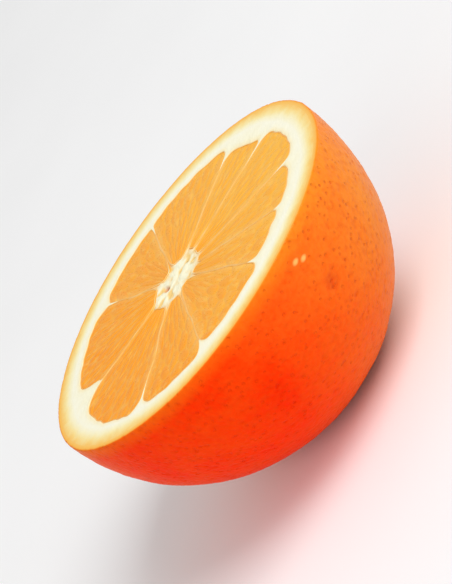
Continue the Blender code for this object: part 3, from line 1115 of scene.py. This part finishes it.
pulp_finish, tree, shader, place = new_material(
    "pulp", Specular_IOR_Level=0.20, Specular_Tint=(1.0, 0.75, 0.32, 1)
)
along_sac = stored(tree, "unrolled", "Vector")
streaks = use_group(tree, uneven, Place=along_sac, Size=1.1, Detail=2.0)
tone = rescale(tree, stored(tree, "tone"), -1.0, 1.0, TONE_LOW, TONE_HIGH)
blend = calculate(tree, "ADD", tone, multiply(tree, streaks, STREAKS))
split = add_node(tree, "ShaderNodeSeparateXYZ", {0: place}).outputs
# painted light: the cut is made lighter towards +x, the side where the light falls
painted_pulp_light = rescale(tree, split["X"], PULP_LIT_FROM, PULP_LIT_TO)
painted_pulp_light = multiply(tree, painted_pulp_light, PAINTED_LIGHT_SHARE)
blend = calculate(tree, "ADD", multiply(tree, blend, SAC_SHARE), painted_pulp_light)
colour = mix_colours(tree, blend, PULP_ORANGE, PULP_YELLOW)
threads = use_group(tree, uneven, Place=along_sac, Size=0.75, Detail=1.0)
threads = rescale(tree, threads, THREADS_FROM, THREADS_FULL, 0.0, THREAD_STRENGTH)
colour = mix_colours(tree, threads, colour, THREAD_CREAM)
shows_through = stored(tree, "near_skin")
shows_through = rescale(tree, shows_through, SHOWING_FROM, 1.0, 0.0, SHOWING_STRENGTH)
colour = mix_colours(tree, shows_through, colour, SKIN_SHOWING)
groove = rescale(tree, stored(tree, "fullness"), 0.0, GROOVE_ENDS_AT, GROOVE_STRENGTH, 0.0)
colour = mix_colours(tree, groove, colour, GROOVE_YELLOW)
fibres = use_group(tree, uneven, Place=along_sac, Size=0.30, Detail=2.0)
roughness = rescale(tree, fibres, 0.0, 1.0, *PULP_ROUGHNESS)
connect(tree, shader, colour, roughness, fibres, PULP_BUMP)
print("finish", pulp_finish.name)

# %% [markdown]
# The pulp.
#
# The sacs of a segment are one piece, because they are grown together. Left as a sheet of cushions
# it would be open underneath, so the bed is first extruded down to a block that stands in the well
# of the pith. Two short steps come before the long one: they hold the rounding of the subdivision
# surface to a narrow shoulder.

# %% The pulp of each segment
SEED = 41
PULP_GAP = -0.04 * MM
CORNERS_MEET = 0.02 * MM
BETWEEN_SEGMENTS = 10 * MM
SKIN_SHOWS_FOR = 1.3 * MM
SHOULDERS = (0.06 * MM, 0.24 * MM)
SAC_LEVELS = 2


def sink_block(bed, cells):
    """Extrudes the cells down into a closed block, and leaves them as its top."""
    under = cells
    for down in (*SHOULDERS, WELL_DEPTH + PULP_LEVEL - sum(SHOULDERS) - FLOOR_GAP):
        block = bmesh.ops.extrude_face_region(bed, geom=under, use_keep_orig=True)["geom"]
        if under is not cells:
            bmesh.ops.delete(bed, geom=under, context="FACES")
        sunk = [item for item in block if isinstance(item, bmesh.types.BMVert)]
        bmesh.ops.translate(bed, verts=sunk, vec=(0, 0, -down))
        under = [item for item in block if isinstance(item, bmesh.types.BMFace)]
    bmesh.ops.recalc_face_normals(bed, faces=bed.faces)


def make_pulp(number, segment):
    """The sacs of one segment on a block that stands in the well of the pith."""
    rng = random.Random(SEED + number)
    middle, half, _, _ = segment
    outline = [unrolled(*point, middle) for point in segment_outline(segment, PULP_GAP)]
    sites = sac_sites(outline, rng)
    bed = bmesh.new()
    bed.verts.layers.float.new("fullness")
    bed.verts.layers.float.new("tone")
    near_skin = bed.verts.layers.float.new("near_skin")
    along = bed.verts.layers.float_vector.new("unrolled")
    for site in sites:
        add_sac_cell(bed, outline, site, sites)
    bmesh.ops.remove_doubles(bed, verts=bed.verts, dist=CORNERS_MEET)
    for vert in bed.verts:
        off_side = half - abs(vert.co.x) / SAC_WIDTH_AT
        vert[near_skin] = max(0.0, 1 - unrolled_distance(vert.co) * off_side / SKIN_SHOWS_FOR)
        vert[along] = vert.co + Vector((0, 0, number * BETWEEN_SEGMENTS))
        vert.co = rolled_up(vert.co, middle)
    cells = list(bed.faces)
    sink_block(bed, cells)
    raise_sacs(bed, cells, rng)
    pulp = piece_from(bed, f"pulp_{number}", pulp_finish)
    rounding = pulp.modifiers.new("Rounding", "SUBSURF")
    rounding.levels = rounding.render_levels = SAC_LEVELS
    return pulp


pulps = [make_pulp(number, segment) for number, segment in enumerate(segments, 1)]

# %% [markdown]
# The finish of the core.
#
# The core is the same white stuff as the pith, torn by the knife. Its lumps are cream, and the low
# places between them are painted a darker yellow, which is painted shade, so the colour follows the
# height of the lumps, which the vertices hold. The arms turn orange where they thin out, and the
# one small hollow is painted brown, which is painted shade in it.

# %% Finish of the core
CORE_CREAM = (0.95, 0.91, 0.66, 1)
CORE_CREVICE_SHADE = (0.94, 0.64, 0.22, 1)
ARM_ORANGE = (0.93, 0.52, 0.12, 1)
HOLLOW_SHADE_BROWN = (0.55, 0.16, 0.07, 1)
LUMPS_UNSHADED_AT, LUMPS_SHADED_AT = 0.5, 0.15
ARMS_FROM, ARMS_TO, ARM_STRENGTH = 5.0 * MM, 8.2 * MM, 0.85
CORE_BUMP = 0.05 * MM
CORE_ROUGHNESS = (0.45, 0.65)

core_finish, tree, shader, place = new_material("core", Specular_IOR_Level=0.35)
# painted shade: a darker yellow in the low places between the lumps
shade_in_low_places = rescale(tree, stored(tree, "lump"), LUMPS_UNSHADED_AT, LUMPS_SHADED_AT)
colour = mix_colours(tree, shade_in_low_places, CORE_CREAM, CORE_CREVICE_SHADE)
from_core = measure(tree, "DISTANCE", place, core_place)
arms = rescale(tree, from_core, ARMS_FROM, ARMS_TO, 0.0, ARM_STRENGTH)
colour = mix_colours(tree, arms, colour, ARM_ORANGE)
# painted shade: brown in the hollow
colour = mix_colours(tree, stored(tree, "hollow"), colour, HOLLOW_SHADE_BROWN)
fine = use_group(tree, uneven, Place=place, Size=0.4, Detail=3.0)
connect(tree, shader, colour, rescale(tree, fine, 0.0, 1.0, *CORE_ROUGHNESS), fine, CORE_BUMP)
print("finish", core_finish.name)

# %% [markdown]
# The core.
#
# In the middle the skins and the white thread of the fruit's axis run together into a ragged star,
# lumpy where the knife has torn it, with one small hollow. Sculpting would give the lumps, but a
# script needs a rule, so they are heights worked out from noise. The star grows inwards from the
# tips of the segments, as the pith's ring does from the skin.

# %% The core, a star that grows inwards
CORE_STEPS = 240
CORE_RINGS = 26
CORE_LEVEL = -0.14 * MM
CORE_RIM = -0.30 * MM
LUMP_SIZE = 1.9 * MM
LUMP_RISE = 0.30 * MM
LUMP_MIDDLE = 0.7
CRUMBS = 0.3
LUMPS_FULL_AT = 0.25
HOLLOW_CENTRE = Vector((-4.4 * MM, 3.4 * MM))
HOLLOW_WIDTH = 0.50 * MM
HOLLOW_STRETCH = 1.7
HOLLOW_DEPTH = 1.1 * MM
HOLLOW_SHADE_STRENGTH = 1.6


def hollow_at(point):
    """How deep in the core's hollow a point is, from 0 to 1."""
    off = point.to_2d() - HOLLOW_CENTRE
    return math.exp(-((off.x / HOLLOW_WIDTH) ** 2) - (off.y / HOLLOW_WIDTH / HOLLOW_STRETCH) ** 2)


def lump_at(point):
    """How high on a lump of the core a point is, about 0.5 on average."""
    return 0.5 + noise.noise(Vector((point.x, point.y, cut_height)) / LUMP_SIZE)


def make_core():
    """The core as a closed star on the floor of the well, with its lumps and hollow stored."""
    bm = bmesh.new()
    lump_layer = bm.verts.layers.float.new("lump")
    hollow_layer = bm.verts.layers.float.new("hollow")
    for vert in bmesh.ops.create_circle(bm, segments=CORE_STEPS, radius=1)["verts"]:
        direction = direction_of(vert.co)
        distance = edge_of_segments(direction % (2 * math.pi), False)
        vert.co = seen_from_core(direction, distance, -WELL_DEPTH + FLOOR_GAP)
    bottom = list(bm.edges)
    centre = seen_from_core(0, 0)
    rim = cut_height + CORE_RIM
    ring = next_ring(bm, bottom, lambda vert: Vector((vert.co.x, vert.co.y, rim)))
    share = 1.0
    for step in range(CORE_RINGS):
        kept = (1 - (step + 1) / (CORE_RINGS + 1)) / (1 - step / (CORE_RINGS + 1))
        share *= kept

        def inwards(vert):
            place = centre.lerp(Vector((vert.co.x, vert.co.y, cut_height)), kept)
            lump = lump_at(place) + CRUMBS * noise.noise(place / (CRUMBS * LUMP_SIZE))
            rise = LUMP_RISE * (lump - LUMP_MIDDLE) * min(1.0, (1 - share) / LUMPS_FULL_AT)
            place.z += CORE_LEVEL + rise - HOLLOW_DEPTH * hollow_at(place)
            return place

        ring = next_ring(bm, ring, inwards)
        for vert in verts_of(ring):
            vert[lump_layer] = lump_at(vert.co)
            vert[hollow_layer] = min(1.0, HOLLOW_SHADE_STRENGTH * hollow_at(vert.co))
    bmesh.ops.holes_fill(bm, edges=ring, sides=0)
    bmesh.ops.holes_fill(bm, edges=bottom, sides=0)
    return piece_from(bm, "core", core_finish)


core = make_core()

# %% [markdown]
# Putting the pieces on the body.
#
# All the pieces are one fruit, so all ride on the one body, and the imported solid is hidden.

# %% Ride, and hide the imported solid
for piece in (peel, pith, core, *skins, *pulps):
    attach(piece, "root")
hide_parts("orange_half")
print(f"{3 + len(skins) + len(pulps)} pieces")

# %% [markdown]
# The studio.
#
# Small fruit is photographed on a pale table under soft light, so that its gloss has no hard spot.
# A dome of lamps would be even softer but flat. This studio has a wide pale floor, one large light
# above and to the right, a weaker one at the left, and a pale surround that fills the shadows.

# %% Floor and light
FLOOR_SIZE = 6.0
FLOOR_PALE, FLOOR_PALER = (0.92, 0.92, 0.92, 1), (0.94, 0.94, 0.94, 1)
SURROUND_STRENGTH = 0.50

floor_finish, tree, shader, place = new_material("floor", Specular_IOR_Level=0.2, Roughness=0.7)
soft = use_group(tree, uneven, Place=place, Size=60.0, Detail=2.0)
floor_colour = mix_colours(tree, soft, FLOOR_PALE, FLOOR_PALER)
tree.links.new(floor_colour, shader.inputs["Base Color"])
bm = bmesh.new()
bmesh.ops.create_grid(bm, x_segments=4, y_segments=4, size=FLOOR_SIZE / 2)
floor = piece_from(bm, "floor", floor_finish)

world = bpy.data.worlds.new("studio")
bpy.context.scene.world = world
world.use_nodes = True
surround = world.node_tree.nodes["Background"]
surround.inputs["Color"].default_value = (1, 1, 1, 1)
surround.inputs["Strength"].default_value = SURROUND_STRENGTH


def soft_light(name, direction, distance, size, power):
    """A square area light that looks at the middle of the orange from a direction."""
    lamp = bpy.data.lights.new(name, "AREA")
    lamp.size = size
    lamp.energy = power
    light = bpy.data.objects.new(name, lamp)
    bpy.context.scene.collection.objects.link(light)
    away = Vector(direction).normalized()
    light.location = Vector((0, 0, cut_height / 2)) + away * distance
    light.rotation_euler = away.to_track_quat("Z", "Y").to_euler()


soft_light("key", direction=(0.53, -0.43, 0.72), distance=1.60, size=1.00, power=18.0)
soft_light("fill", direction=(-0.55, -0.75, 0.40), distance=1.80, size=1.60, power=8.8)

# %% [markdown]
# The camera.
#
# It looks at the cut from twenty degrees above it. In the photograph the half leans, with its cut
# facing up and to the left. Tilting the fruit would lift it off the floor, so the camera is rolled
# instead. A long lens keeps the shape as the photograph has it, and the standard view keeps the
# colours as saturated as they are there.

# %% Camera
VIEW_ELEVATION = math.radians(20.0)
ROLL = math.radians(-55.8)
LENS = 200.0
CAMERA_DISTANCE = 0.606
AIM = Vector((1.4 * MM, 3.9 * MM, 27.6 * MM))

camera_data = bpy.data.cameras.new("camera")
camera_data.lens = LENS
camera = bpy.data.objects.new("camera", camera_data)
bpy.context.scene.collection.objects.link(camera)
turn = Matrix.Rotation(math.pi / 2 - VIEW_ELEVATION, 4, "X") @ Matrix.Rotation(ROLL, 4, "Z")
back = turn.to_3x3() @ Vector((0, 0, 1))
camera.matrix_world = Matrix.Translation(AIM + back * CAMERA_DISTANCE) @ turn
bpy.context.scene.camera = camera
bpy.context.scene.view_settings.view_transform = "Standard"
print("camera at", [round(c, 3) for c in camera.location])
